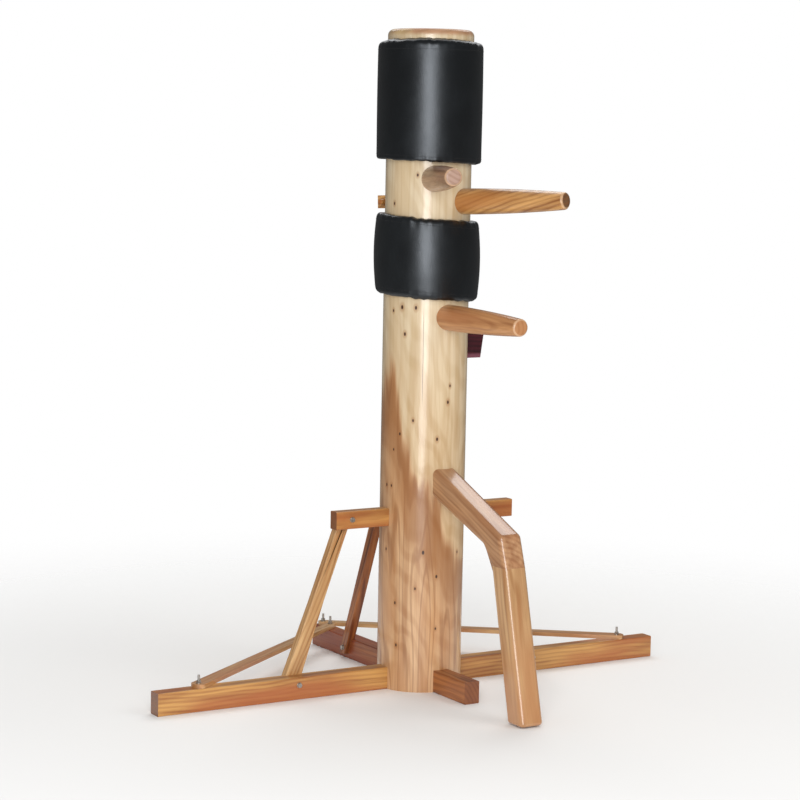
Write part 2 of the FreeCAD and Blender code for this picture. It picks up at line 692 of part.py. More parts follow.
NODES = {
    "trunk": whole_trunk, "cross_beam": cross_beam, "front_rear_beam": keel,
    "upper_crossbar": crossbar, "upper_rear_bar": rear_bar,
    "left_strut": left_strut, "right_strut": right_strut, "rear_strut": back_strut,
    "left_brace": left_brace, "right_brace": right_brace,
    "leg_thigh": leg_thigh, "leg_shin": leg_shin, "knee_dowels": knee_dowels, "leg_peg": leg_peg,
    "side_block": side_piece,
    "strut_bolts": group("strut_bolt_group", bolts),
    "strut_washers": group("strut_washer_group", washers),
    "strut_nuts": group("strut_nut_group", nuts),
    "brace_bolts": group("brace_bolt_group", studs),
    "brace_washers": group("brace_washer_group", stud_washers),
    "brace_nuts": group("brace_nut_group", stud_nuts),
    "coach_screws": group("coach_screw_group", screws),
}
NODES.update(arms)
NODES.update(pegs)
NODES.update({piece.Name: piece for piece in pads})

doc.recompute()
for thing in doc.Objects:
    if "Invalid" in thing.State or "Error" in thing.State:
        raise RuntimeError("%s: %s" % (thing.Name, thing.State))

os.makedirs("parts", exist_ok=True)
for node, piece in NODES.items():
    piece.Label = node
    shape = piece.Shape
    if shape.isNull() or not shape.isValid() or not shape.Solids:
        raise RuntimeError(node + " has no sound shape")
    shape.exportStep(os.path.join("parts", node + ".step"))
    box = shape.BoundBox
    print("%-24s solids %d  volume %9.1f cm3  x %.0f..%.0f  y %.0f..%.0f  z %.0f..%.0f" % (
        node, len(shape.Solids), shape.Volume / 1000,
        box.XMin, box.XMax, box.YMin, box.YMax, box.ZMin, box.ZMax))
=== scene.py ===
import json
import math
import random

import bpy
from mathutils import Matrix, Vector, noise
from mathutils.bvhtree import BVHTree


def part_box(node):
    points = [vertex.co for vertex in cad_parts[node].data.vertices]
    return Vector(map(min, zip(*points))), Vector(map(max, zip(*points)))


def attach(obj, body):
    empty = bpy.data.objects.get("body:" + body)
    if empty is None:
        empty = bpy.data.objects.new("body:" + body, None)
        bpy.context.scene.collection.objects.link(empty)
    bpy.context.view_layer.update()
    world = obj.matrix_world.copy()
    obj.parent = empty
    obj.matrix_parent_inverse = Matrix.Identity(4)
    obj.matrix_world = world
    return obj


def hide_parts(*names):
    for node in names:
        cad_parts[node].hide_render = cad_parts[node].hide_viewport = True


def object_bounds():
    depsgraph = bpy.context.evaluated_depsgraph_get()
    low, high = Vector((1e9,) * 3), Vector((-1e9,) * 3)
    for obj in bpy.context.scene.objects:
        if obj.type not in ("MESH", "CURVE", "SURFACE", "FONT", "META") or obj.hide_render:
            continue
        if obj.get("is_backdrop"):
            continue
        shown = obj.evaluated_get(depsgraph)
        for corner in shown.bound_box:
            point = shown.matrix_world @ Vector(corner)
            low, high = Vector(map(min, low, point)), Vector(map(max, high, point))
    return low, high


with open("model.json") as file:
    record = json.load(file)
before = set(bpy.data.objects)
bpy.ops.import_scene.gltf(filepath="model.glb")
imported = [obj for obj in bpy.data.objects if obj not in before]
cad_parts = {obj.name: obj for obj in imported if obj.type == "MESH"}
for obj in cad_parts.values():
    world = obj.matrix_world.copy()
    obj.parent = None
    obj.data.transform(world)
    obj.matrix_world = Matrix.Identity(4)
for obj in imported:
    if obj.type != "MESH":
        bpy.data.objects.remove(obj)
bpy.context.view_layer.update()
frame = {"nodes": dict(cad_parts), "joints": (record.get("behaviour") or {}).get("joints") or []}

# A free-standing wooden striking dummy. Metres, +Z up, -Y to the front.
# The CAD nodes of wood and steel stay and get materials. The two pads are replaced by sewn leather
# pieces, each a padded cover, the flap that closes it at the back, and its stitches.


# ------------------------------------------------------------------ shader helpers

def tint(digits):
    """A colour written as six hex digits of display red, green and blue, as linear light."""
    shares = [int(digits[place:place + 2], 16) / 255 for place in (0, 2, 4)]
    linear = [s / 12.92 if s <= 0.04045 else ((s + 0.055) / 1.055) ** 2.4 for s in shares]
    return (*linear, 1.0)


def new_material(name):
    """A material with its node tree and its shader."""
    material = bpy.data.materials.new(name)
    material.use_nodes = True
    tree = material.node_tree
    return material, tree, tree.nodes["Principled BSDF"]


def put(tree, node, key, value):
    """Set a node's input, found by name or place, to a value, or link it to a socket."""
    if isinstance(value, bpy.types.NodeSocket):
        tree.links.new(value, node.inputs[key])
    else:
        node.inputs[key].default_value = value


def add(tree, kind, inputs=None, **settings):
    """A shader node with its settings and inputs."""
    node = tree.nodes.new("ShaderNode" + kind)
    for name, value in settings.items():
        setattr(node, name, value)
    for key, value in (inputs or {}).items():
        put(tree, node, key, value)
    return node


def figure(tree, operation, *values):
    """Arithmetic on one number per point."""
    return add(tree, "Math", dict(enumerate(values)), operation=operation).outputs[0]


def vector(tree, operation, *values):
    """Arithmetic on one vector per point. Lengths and distances come out as numbers."""
    node = add(tree, "VectorMath", dict(enumerate(values)), operation=operation)
    return node.outputs["Value" if operation in ("LENGTH", "DISTANCE") else "Vector"]


def vector_dot(tree, first, second):
    """The dot product of two vectors per point."""
    return add(tree, "VectorMath", {0: first, 1: second}, operation="DOT_PRODUCT").outputs["Value"]


def spread(tree, value, low, high, to_low=0.0, to_high=1.0):
    """A smooth step of a value from one range to another."""
    inputs = {0: value, 1: low, 2: high, 3: to_low, 4: to_high}
    return add(tree, "MapRange", inputs, interpolation_type="SMOOTHSTEP").outputs[0]


def mixed(tree, factor, first, second):
    """The first colour at a factor of nought, the second at one."""
    inputs = {0: factor, 6: first, 7: second}
    return add(tree, "Mix", inputs, data_type="RGBA").outputs[2]


def noise_of(tree, coords, scales, detail, seed):
    """Noise on coordinates that are stretched by a scale along each axis."""
    stretched = vector(tree, "MULTIPLY", coords, scales)
    inputs = {"Vector": stretched, "W": seed, "Scale": 1.0, "Detail": detail}
    return add(tree, "TexNoise", inputs, noise_dimensions="4D")


def bump(tree, height, strength, distance):
    """A normal tilted by a height. A height of one stands out by the distance, in metres."""
    inputs = {"Strength": strength, "Distance": distance, "Height": height}
    return add(tree, "Bump", inputs).outputs[0]


def paint(piece, material):
    """Give a piece one material all over."""
    if not piece.data.materials:
        piece.data.materials.append(material)
    for slot in piece.material_slots:
        slot.material = material


# ------------------------------------------------------------------ wood

# Noise scales across the grain, twice, and along it, per metre.
WARPS = (11.0, 11.0, 4.0)
BROAD = (14.0, 14.0, 2.6)
STREAKS = (52.0, 52.0, 3.2)
FIBRES = (480.0, 480.0, 11.0)
WAVES = (16.0, 16.0, 5.0)
VEINS = (14.0, 14.0, 1.3)
WARP = 0.034                 # how far, in metres, the rings wander
COAT_ROUGHNESS = 0.17
BUMP_DEPTH = 0.001           # metres that a height of one stands for
EDGE_HIGHLIGHT = "e3c09c"            # colour of a highlight painted on the rounded edges of the arms' ends


def grain(tree, along, pith, ring, taper, seed):
    """A solid grain: rings round a pith line, with streaks and fibres that run along it."""
    coords = add(tree, "TexCoord").outputs["Object"]
    turn = Vector(along).to_track_quat("Z", "Y").to_euler()
    turned = add(tree, "Mapping", {0: coords, 1: pith, 2: turn}, vector_type="TEXTURE").outputs[0]
    sway = noise_of(tree, turned, WARPS, 2.0, seed).outputs["Color"]
    swaying = vector(tree, "SUBTRACT", sway, (0.5, 0.5, 0.5))
    bent = vector(tree, "MULTIPLY_ADD", swaying, (WARP, WARP, 0.0), turned)
    radius = vector(tree, "LENGTH", vector(tree, "MULTIPLY", bent, (1.0, 1.0, 0.0)))
    height = add(tree, "SeparateXYZ", {0: turned}).outputs["Z"]
    depth = figure(tree, "MULTIPLY_ADD", height, taper, radius)
    wave = figure(tree, "SINE", figure(tree, "MULTIPLY", depth, 2 * math.pi / ring))
    return {"coords": coords, "height": height, "radius": radius,
            "rings": spread(tree, wave, -0.5, 1.0),
            "waves": noise_of(tree, turned, WAVES, 1.0, seed + 4).outputs["Fac"],
            "broad": noise_of(tree, turned, BROAD, 2.0, seed + 1).outputs["Fac"],
            "streaks": noise_of(tree, turned, STREAKS, 4.0, seed + 2).outputs["Fac"],
            "fibres": noise_of(tree, turned, FIBRES, 3.0, seed + 3).outputs["Fac"]}


def grained(tree, parts, light, dark, blush, figured=0.45):
    """Plain wood's colour from its grain: dark in rings and streaks, with warm patches."""
    streaked = spread(tree, parts["streaks"], 0.38, 0.64, 0.0, 0.6)
    share = figure(tree, "MULTIPLY_ADD", parts["rings"], figured, streaked)
    plain = mixed(tree, share, light, dark)
    warm = mixed(tree, spread(tree, parts["broad"], 0.44, 0.66, 0.0, 0.8), plain, blush)
    return mixed(tree, spread(tree, parts["fibres"], 0.45, 0.72, 0.0, 0.22), warm, dark)


def varnish(tree, shader, parts, colour, gloss, rough=None, relief=0.0, sway=1.5, raised=0.6):
    """Varnish over grain: a clear coat over a hand-worked, slightly uneven surface."""
    if rough is None:
        rough = spread(tree, parts["fibres"], 0.3, 0.7, 0.4, 0.55)
    put(tree, shader, "Base Color", colour)
    put(tree, shader, "Roughness", rough)
    put(tree, shader, "Coat Weight", gloss)
    put(tree, shader, "Coat Roughness", COAT_ROUGHNESS)
    uneven = figure(tree, "MULTIPLY", parts["waves"], sway)
    felt = figure(tree, "MULTIPLY_ADD", parts["rings"], 0.12, uneven)
    height = figure(tree, "MULTIPLY_ADD", parts["fibres"], 0.16, felt)
    sunk = figure(tree, "SUBTRACT", height, relief)
    put(tree, shader, "Normal", bump(tree, sunk, raised, BUMP_DEPTH))
    put(tree, shader, "Coat Normal", bump(tree, felt, raised, BUMP_DEPTH))


def wood(name, along, pith, colours, end, ring=0.010, seed=0.0, gloss=0.6, figured=0.45, paleness=0.0):
    """Varnished wood. Its sawn ends have a colour of their own, and a highlight can be painted on
    the rounded edges round them.
    """
    material, tree, shader = new_material(name)
    parts = grain(tree, along, pith, ring, 0.0, seed)
    colour = grained(tree, parts, *[tint(shade) for shade in colours], figured)
    normal = add(tree, "TexCoord").outputs["Normal"]
    facing = figure(tree, "ABSOLUTE", vector_dot(tree, normal, along))
    ring_share = figure(tree, "MULTIPLY", parts["rings"], 0.4)
    cut = mixed(tree, ring_share, tint(end), tint(colours[1]))
    sawn = mixed(tree, spread(tree, facing, 0.75, 0.92, 0.0, 0.85), colour, cut)
    # A painted highlight: a paler ring where the surface turns from the side to the sawn end.
    edge = figure(tree, "MULTIPLY", spread(tree, facing, 0.2, 0.4, 0.0, paleness),
                  spread(tree, facing, 0.95, 0.8))
    edge_highlighted = mixed(tree, edge, sawn, tint(EDGE_HIGHLIGHT))
    varnish(tree, shader, parts, edge_highlighted, gloss)
    return material


# Colours of the woods as light, dark and warm patch.
HONEY = ("cf9a54", "8a4d1e", "ab5c2b")
SANDY = ("d6ad78", "a4703e", "b9794a")
RUSSET = ("ac6a36", "642f12", "8c3d1c")


# ------------------------------------------------------------------ the trunk's wood

TRUNK_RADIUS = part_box("trunk")[1].x
TRUNK_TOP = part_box("trunk")[1].z
HEART_SIDE = math.radians(149)     # heading towards which the trunk's pith is off its axis
HEART_SHIFT = 0.022
HEART_TAPER = 0.10                 # the heartwood's radius falls by this much per metre of height
HEART_LEVEL = 0.56                 # height where heartwood reaches the surface midway round

# Colours of the trunk's woods as light, dark and warm patch.
FRESH_SAP = ("e6d3b2", "cbaf84", "dbc097")
AGED_SAP = ("d2ad7c", "b98c58", "c79863")
HEARTWOOD = ("dab287", "a57042", "c28c5a")

# Small dark pin knots: heading in degrees, height in metres, radius in millimetres.
KNOT_SHAPE = (1.0, 1.0, 0.6)       # knots are taller than wide
KNOTS = [(-155, 0.95, 4.0), (-135, 0.95, 3.6), (-170, 0.94, 2.8), (-150, 0.885, 3.4),
         (-85, 0.76, 2.8), (-88, 0.72, 3.4), (-136, 0.675, 2.8), (-103, 0.63, 3.4),
         (-155, 0.64, 3.0), (-165, 0.60, 2.6), (-178, 0.51, 3.2), (-168, 0.51, 2.8),
         (-177, 0.35, 3.0), (-119, 0.35, 4.0), (-64, 0.345, 2.8), (-100, 0.29, 3.4),
         (-129, 0.26, 2.8), (-158, 0.22, 3.2), (-155, 0.115, 3.0), (-100, 0.16, 2.6),
         (-136, 1.27, 2.8), (-172, 1.20, 3.0)]

# Drying cracks: heading in degrees, lowest and highest point.
CRACKS = [(-124, 0.70, 0.97), (62, 0.25, 0.86), (20, 1.17, 1.30), (100, 0.60, 0.95)]
CRACK_FADE = 0.06                  # length over which a crack closes at each end
CROWN_LEVEL = 1.606                # where the rounding of the trunk's upper edge begins
CROWN_FADE = 0.006
TOP_FADE = (0.006, 0.0005)         # below the top, where the varnish begins and ends its fade


def hidden_knots():
    """A few more knots on the side that faces away."""
    draw = random.Random(7)
    return [(draw.uniform(-40, 160), draw.uniform(0.1, 0.95), draw.uniform(2.4, 4.0))
            for _ in range(14)]


def nearest_knot(tree, coords):
    """Distance to the nearest knot, in that knot's own radii."""
    flat = vector(tree, "MULTIPLY", coords, KNOT_SHAPE)
    nearest = 99.0                 # farther than any knot
    for heading, height, size in KNOTS + hidden_knots():
        turn = math.radians(heading)
        spot = (TRUNK_RADIUS * math.cos(turn), TRUNK_RADIUS * math.sin(turn),
                height * KNOT_SHAPE[2])
        away = figure(tree, "DIVIDE", vector(tree, "DISTANCE", flat, spot), size / 1000)
        nearest = figure(tree, "MINIMUM", away, nearest)
    return nearest


def cracks(tree, parts):
    """Thin drying cracks that wander up the trunk: one where each is, nought elsewhere."""
    sideways = figure(tree, "MULTIPLY_ADD", parts["waves"], 0.012, -0.006)
    found = 0.0
    for heading, low, high in CRACKS:
        turn = math.radians(heading)
        across = vector_dot(tree, parts["coords"], (math.sin(turn), -math.cos(turn), 0.0))
        outward = vector_dot(tree, parts["coords"], (math.cos(turn), math.sin(turn), 0.0))
        gap = figure(tree, "ABSOLUTE", figure(tree, "ADD", across, sideways))
        line = spread(tree, gap, 0.0012, 0.0003)
        for limit in (spread(tree, parts["height"], low, low + CRACK_FADE),
                      spread(tree, parts["height"], high, high - CRACK_FADE),
                      spread(tree, outward, 0.0, 0.01)):
            line = figure(tree, "MULTIPLY", line, limit)
        found = figure(tree, "MAXIMUM", line, found)
    return found


def veins_of(tree, parts):
    """Long sinuous lines of dark grain: the contours of a stretched noise, slightly ragged."""
    field = noise_of(tree, parts["coords"], VEINS, 1.0, 9.0).outputs["Fac"]
    ragged = figure(tree, "MULTIPLY", parts["streaks"], 5.0)
    contour = figure(tree, "SINE", figure(tree, "MULTIPLY_ADD", field, 80.0, ragged))
    return spread(tree, contour, 0.45, 1.0)


def sapwood(tree, parts, veins):
    """Pale sapwood, yellower towards the foot."""
    plain = grained(tree, parts, *[tint(shade) for shade in FRESH_SAP], 0.25)
    fresh = mixed(tree, figure(tree, "MULTIPLY", veins, 0.16), plain, tint("b48c5c"))
    aged = spread(tree, parts["height"], 1.1, 0.35, 0.0, 0.6)
    return mixed(tree, aged, fresh, grained(tree, parts, *[tint(shade) for shade in AGED_SAP]))


def heartwood(tree, parts, veins):
    """Orange heartwood with dark grain lines."""
    plain = grained(tree, parts, *[tint(shade) for shade in HEARTWOOD], 0.25)
    return mixed(tree, figure(tree, "MULTIPLY", veins, 0.42), plain, tint("8a552c"))


def heart_and_sap(tree, parts):
    """Sapwood above and heartwood below, with a ragged, darker rim between them."""
    veins = veins_of(tree, parts)
    reach = figure(tree, "MULTIPLY_ADD", parts["height"], -HEART_TAPER,
                   TRUNK_RADIUS + HEART_TAPER * HEART_LEVEL)
    over = figure(tree, "SUBTRACT", reach, parts["radius"])
    torn = figure(tree, "MULTIPLY_ADD", parts["streaks"], 0.012, over)
    ragged = figure(tree, "MULTIPLY_ADD", parts["broad"], 0.030, torn)
    rim = figure(tree, "MULTIPLY", spread(tree, ragged, 0.018, 0.026),
                 spread(tree, ragged, 0.046, 0.028))
    heart = heartwood(tree, parts, veins)
    flamed = mixed(tree, figure(tree, "MULTIPLY", rim, 0.7), heart, tint("98602f"))
    return mixed(tree, spread(tree, ragged, 0.016, 0.023), sapwood(tree, parts, veins), flamed)


def sawn_top(tree, parts, colour):
    """Patchy end grain on the trunk's top and its rounded edge."""
    patchy = mixed(tree, spread(tree, parts["broad"], 0.42, 0.6), tint("b0714a"), tint("c9a56c"))
    ring_share = figure(tree, "MULTIPLY", parts["rings"], 0.35)
    crown = spread(tree, parts["height"], CROWN_LEVEL - CROWN_FADE, CROWN_LEVEL + CROWN_FADE,
                   0.0, 0.75)
    return mixed(tree, crown, colour, mixed(tree, ring_share, patchy, tint("84532f")))


def trunk_wood():
    """The trunk's wood with knots and cracks, varnished except on the sawn top, which is matt."""
    material, tree, shader = new_material("trunk_wood")
    pith = (HEART_SHIFT * math.cos(HEART_SIDE), HEART_SHIFT * math.sin(HEART_SIDE), 0.0)
    parts = grain(tree, (0, 0, 1), pith, 0.009, HEART_TAPER, 3.0)
    plain = heart_and_sap(tree, parts)
    knot = nearest_knot(tree, parts["coords"])
    ringed = mixed(tree, spread(tree, knot, 2.6, 1.0, 0.0, 0.45), plain, tint("a8713f"))
    spotted = mixed(tree, spread(tree, knot, 1.0, 0.55), ringed, tint("46250f"))
    crack = cracks(tree, parts)
    split = mixed(tree, figure(tree, "MULTIPLY", crack, 0.75), spotted, tint("6f4434"))
    side = spread(tree, parts["height"], TRUNK_TOP - TOP_FADE[1], TRUNK_TOP - TOP_FADE[0])
    varnish(tree, shader, parts, sawn_top(tree, parts, split),
            gloss=figure(tree, "MULTIPLY_ADD", side, 0.70, 0.15),
            rough=figure(tree, "MULTIPLY_ADD", side, -0.28, 0.75),
            relief=figure(tree, "MAXIMUM", spread(tree, knot, 1.0, 0.4), crack),
            sway=3.2, raised=figure(tree, "MULTIPLY", side, 0.6))
    return material


# ------------------------------------------------------------------ other materials

def red_wood():
    """Dark red stain, paler along the block's lower edge."""
    material, tree, shader = new_material("red_wood")
    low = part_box("side_block")[0].z
    parts = grain(tree, (1, 0, 0), (0.0, 0.05, low - 0.04), 0.008, 0.0, 5.0)
    stained = grained(tree, parts, tint("521420"), tint("2c0a12"), tint("44101c"))
    paleness = spread(tree, add(tree, "SeparateXYZ", {0: parts["coords"]}).outputs["Z"],
                  low + 0.014, low + 0.006)
    varnish(tree, shader, parts, mixed(tree, paleness, stained, tint("7a4552")), gloss=0.35)
    return material


def leather():
    """Black smooth leather: a fine pebbled grain, faint creases and a soft sheen."""
    material, tree, shader = new_material("pad_leather")
    coords = add(tree, "TexCoord").outputs["Object"]
    pebble = add(tree, "TexVoronoi", {"Vector": coords, "Scale": 620.0}).outputs["Distance"]
    crease = noise_of(tree, coords, (30.0, 30.0, 55.0), 5.0, 1.0).outputs["Fac"]
    paleness = noise_of(tree, coords, (11.0, 11.0, 7.0), 3.0, 2.0).outputs["Fac"]
    colour = mixed(tree, spread(tree, paleness, 0.4, 0.75), tint("0c0e0f"), tint("15181a"))
    put(tree, shader, "Base Color", colour)
    put(tree, shader, "Roughness", spread(tree, paleness, 0.3, 0.7, 0.33, 0.42))
    height = figure(tree, "MULTIPLY_ADD", crease, 2.4, figure(tree, "MULTIPLY", pebble, 0.5))
    put(tree, shader, "Normal", bump(tree, height, strength=0.3, distance=0.0008))
    put(tree, shader, "Specular IOR Level", 1.0)
    put(tree, shader, "Specular Tint", tint("dfe6ee"))
    return material


def thread():
    """Dark twisted sewing thread."""
    material, tree, shader = new_material("thread")
    coords = add(tree, "TexCoord").outputs["Object"]
    twist = noise_of(tree, coords, (900.0, 900.0, 900.0), 2.0, 4.0).outputs["Fac"]
    put(tree, shader, "Base Color", mixed(tree, twist, tint("1b1b1c"), tint("3a3b3d")))
    put(tree, shader, "Roughness", 0.7)
    return material


def steel():
    """Zinc-plated steel with faint smears and dull patches."""
    material, tree, shader = new_material("steel")
    coords = add(tree, "TexCoord").outputs["Object"]
    smear = noise_of(tree, coords, (300.0, 300.0, 90.0), 3.0, 6.0).outputs["Fac"]
    put(tree, shader, "Base Color", mixed(tree, smear, tint("a5a19b"), tint("cbc8c3")))
    put(tree, shader, "Roughness", spread(tree, smear, 0.3, 0.7, 0.34, 0.55))
    put(tree, shader, "Metallic", 1.0)
    put(tree, shader, "Normal", bump(tree, smear, strength=0.12, distance=0.0002))
    return material


# ------------------------------------------------------------------ materials on the CAD nodes

def middle(node):
    """The middle of a node's box."""
    low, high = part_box(node)
    return (low + high) / 2


def beside(node, along, gap, heading):
    """A pith point beside a node: gap away, square to the grain, at a heading round it."""
    square = Vector(along).to_track_quat("Z", "Y")
    return middle(node) + square @ Vector((gap * math.cos(heading), gap * math.sin(heading), 0.0))


def span_of(node, sign_x, sign_y, sign_z):
    """A direction from one corner of a node's box to the opposite one."""
    low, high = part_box(node)
    size = high - low
    return Vector((sign_x * size.x, sign_y * size.y, sign_z * size.z)).normalized()


def joint_axis(name):
    """A joint's axis, which is also the grain direction of the piece that slides along it."""
    return Vector(next(joint["axis"] for joint in frame["joints"] if joint["name"] == name))


ARMS = ("upper_arm_left", "upper_arm_right", "middle_arm")
ARM_EDGE_HIGHLIGHT = 0.5               # how strongly a highlight is painted on the rounded edges of the arms' ends
SLIM_EDGE = 0.0016           # widths of the eased edges
THICK_EDGE = 0.0025

# Node, grain direction, colours, colour of the sawn ends, distance of the pith from the node's
# middle, seed, gloss and how strongly the rings show.
PLANKS = [
    ("cross_beam", Vector((1, 0, 0)), HONEY, "6e3f22", 0.075, 11.0, 0.6, 0.3),
    ("front_rear_beam", Vector((0, 1, 0)), RUSSET, "7e4a2a", 0.060, 12.0, 0.35, 0.35),
    ("upper_crossbar", Vector((1, 0, 0)), HONEY, "7a4626", 0.050, 13.0, 0.6, 0.35),
    ("upper_rear_bar", Vector((0, 1, 0)), RUSSET, "7a4626", 0.050, 14.0, 0.35, 0.35),
    ("left_strut", span_of("left_strut", 1, 0, 1), SANDY, "9a6a3c", 0.045, 15.0, 0.5, 0.4),
    ("right_strut", span_of("right_strut", -1, 0, 1), SANDY, "9a6a3c", 0.050, 16.0, 0.5, 0.4),
    ("rear_strut", span_of("rear_strut", 0, -1, 1), RUSSET, "7a4626", 0.045, 17.0, 0.35, 0.35),
    ("left_brace", span_of("left_brace", 1, 1, 0), SANDY, "9a6a3c", 0.060, 18.0, 0.6, 0.4),
    ("right_brace", span_of("right_brace", -1, 1, 0), SANDY, "9a6a3c", 0.055, 19.0, 0.6, 0.4),
    ("upper_arm_left", joint_axis("upper_arm_left_slide"), ("bf8d66", "855d3e", "9e6d4b"),
     "ad8c7c", 0.05, 20.0, 0.5, 0.3),
    ("upper_arm_right", joint_axis("upper_arm_right_slide") + Vector((0, 0, 0.3)),
     ("dda765", "8d5626", "be7c3f"), "5a3820", 0.05, 21.0, 0.6, 0.42),
    ("middle_arm", joint_axis("middle_arm_slide"), ("d99e66", "a3683a", "c07a48"), "b98255",
     0.055, 22.0, 0.6, 0.3),
    ("leg_thigh", Vector((0, -0.93, -0.37)), ("c4956a", "93603a", "a86c42"), "9c683f",
     0.070, 23.0, 1.0, 0.3),
    ("leg_shin", Vector((0, -0.22, -0.97)), ("cfa676", "a06d3e", "b88052"), "a8764a",
     0.062, 24.0, 1.0, 0.3),
    ("upper_arm_left_peg", joint_axis("upper_arm_left_peg_pull"), SANDY, "a8764a",
     0.03, 25.0, 0.2, 0.4),
    ("upper_arm_right_peg", joint_axis("upper_arm_right_peg_pull"), HONEY, "a8642f",
     0.03, 26.0, 0.2, 0.4),
    ("middle_arm_peg", joint_axis("middle_arm_peg_pull"), SANDY, "a8764a", 0.03, 27.0, 0.2, 0.4),
    ("leg_peg", joint_axis("leg_peg_pull"), SANDY, "a8764a", 0.03, 28.0, 0.2, 0.4),
    ("knee_dowels", Vector((0, 0, 1)), SANDY, "a8764a", 0.03, 29.0, 0.2, 0.4),
]
for node, along, colours, end, gap, seed, gloss, figured in PLANKS:
    along = along.normalized()
    # Only the arms' ends get the painted edge highlight.
    paleness = ARM_EDGE_HIGHLIGHT if node in ARMS else 0.0
    material = wood(node + "_wood", along, beside(node, along, gap, seed), colours, end,
                    seed=seed, gloss=gloss, figured=figured, paleness=paleness)
    paint(frame["nodes"][node], material)

paint(frame["nodes"]["trunk"], trunk_wood())
paint(frame["nodes"]["side_block"], red_wood())
steel_finish = steel()
for node in ("strut_bolts", "strut_washers", "strut_nuts", "brace_bolts", "brace_washers",
             "brace_nuts", "coach_screws"):
    paint(frame["nodes"][node], steel_finish)


def soften(node, width):
    """Ease the sharp sawn edges of a CAD node with modifiers; its own mesh stays as it is."""
    piece = frame["nodes"][node]
    weld = piece.modifiers.new("weld", "WELD")
    weld.merge_threshold = 0.00002
    eased = piece.modifiers.new("eased", "BEVEL")
    eased.width = width
    eased.segments = 3
    eased.limit_method = "ANGLE"
    eased.angle_limit = math.radians(40)
    eased.harden_normals = True


for node in ("left_strut", "right_strut", "rear_strut"):
    soften(node, SLIM_EDGE)
for node in ("cross_beam", "front_rear_beam", "upper_crossbar", "upper_rear_bar"):
    soften(node, THICK_EDGE)


# ------------------------------------------------------------------ pads

ROUND = 208                  # points round a pad
STEP = 0.0045                # spacing of points along a pad's outline
CLEAR = 0.0005               # room between a pad and the trunk
SWELL_ROOM = 0.001           # left free inside the CAD's outside for the swelling
GATHER_REACH = 0.022         # how far the gathers run in from a hem
GATHER_START = 0.012         # how far from the trunk the gathers have their full depth
PRESSURE = 4.0               # of the stuffing in the cloth simulation
FRAMES = 20                  # length of the cloth simulation
CAP = 0.004                  # the farthest that the simulation may move a point
BACK = math.pi / 2           # heading of the flap
SKEW_SIDE = Vector((0.856, -0.517, 0.0))     # the pads sit lower on this side

# Corner radii at top and bottom, how much the wall falls back at its ends, how far the shoulder is
# below the rim, how much lower per metre the pad's bottom and top sit on one side, how much the rim
# rises towards the front, and a seed for the gathers.
PADS = {"upper_pad": {"top": 0.014, "bottom": 0.005, "crown": 0.001, "fall": 0.004,
                      "skew": (0.036, 0.004), "rise": 0.006, "seed": 3.0},
        "lower_pad": {"top": 0.011, "bottom": 0.011, "crown": 0.007, "fall": 0.001,
                      "skew": (0.070, 0.075), "rise": 0.0, "seed": 8.0}}
FRONT = Vector((-0.53, -0.85, 0.0))          # the side of the upper pad whose rim rises


def pad_outline(low, high, inner, outer, shape):
    """A pad's section as points of radius and height, evenly spaced, and how many face out."""
    top, bottom, crown = shape["top"], shape["bottom"], shape["crown"]
    shoulder = high - shape["fall"] - top
    corners = [(inner, low), (outer - bottom, low)]
    for turn in range(-80, 1, 10):
        angle = math.radians(turn)
        corners.append((outer - bottom + bottom * math.cos(angle),
                        low + bottom + bottom * math.sin(angle)))
    for turn in range(0, 91, 10):
        angle = math.radians(turn)
        corners.append((outer - top + top * math.cos(angle), shoulder + top * math.sin(angle)))
    corners.append((inner, high))
    outside = walk(corners, STEP)
    inside = walk([(inner, high), (inner, low)], 3 * STEP)
    centre, half = (low + high) / 2, (high - low) / 2
    points = []
    for radius, height in outside + inside[1:-1]:
        share = (radius - inner) / (outer - inner)
        points.append((radius - crown * share * ((height - centre) / half) ** 2, height))
    return points, len(outside)


def walk(corners, step):
    """Points at about even steps along straight runs between corners."""
    points = [corners[0]]
    for start, end in zip(corners, corners[1:]):
        length = math.dist(start, end)
        count = max(1, round(length / step))
        for place in range(1, count + 1):
            share = place / count
            points.append((start[0] + (end[0] - start[0]) * share,
                           start[1] + (end[1] - start[1]) * share))
    return points


def pad_point(radius, height, turn, low, high, shape):
    """A point of the pad with its skew, its uneven hems and the gathers that run in from them."""
    way = Vector((math.cos(turn), math.sin(turn), 0.0))
    near_end = min(height - low, high - height)
    gathered = math.exp(-near_end / GATHER_REACH)
    slow, fine, pucker = (noise.noise(way * scale + Vector((0, 0, shape["seed"] + shift)))
                          for scale, shift in ((2.6, 5), (9.0, 0), (26.0, 9)))
    free = min(1.0, (radius - TRUNK_RADIUS) / GATHER_START)
    spot = way * (radius + (0.0022 * fine + 0.0012 * pucker) * gathered * free)
    share = (height - low) / (high - low)
    slope = shape["skew"][0] + (shape["skew"][1] - shape["skew"][0]) * share
    lift = shape["rise"] * max(0.0, way.dot(FRONT)) * share ** 4
    waver = gathered * (0.0022 * slow + 0.0034 * fine)
    spot.z = height - slope * spot.dot(SKEW_SIDE) + lift + waver
    return spot


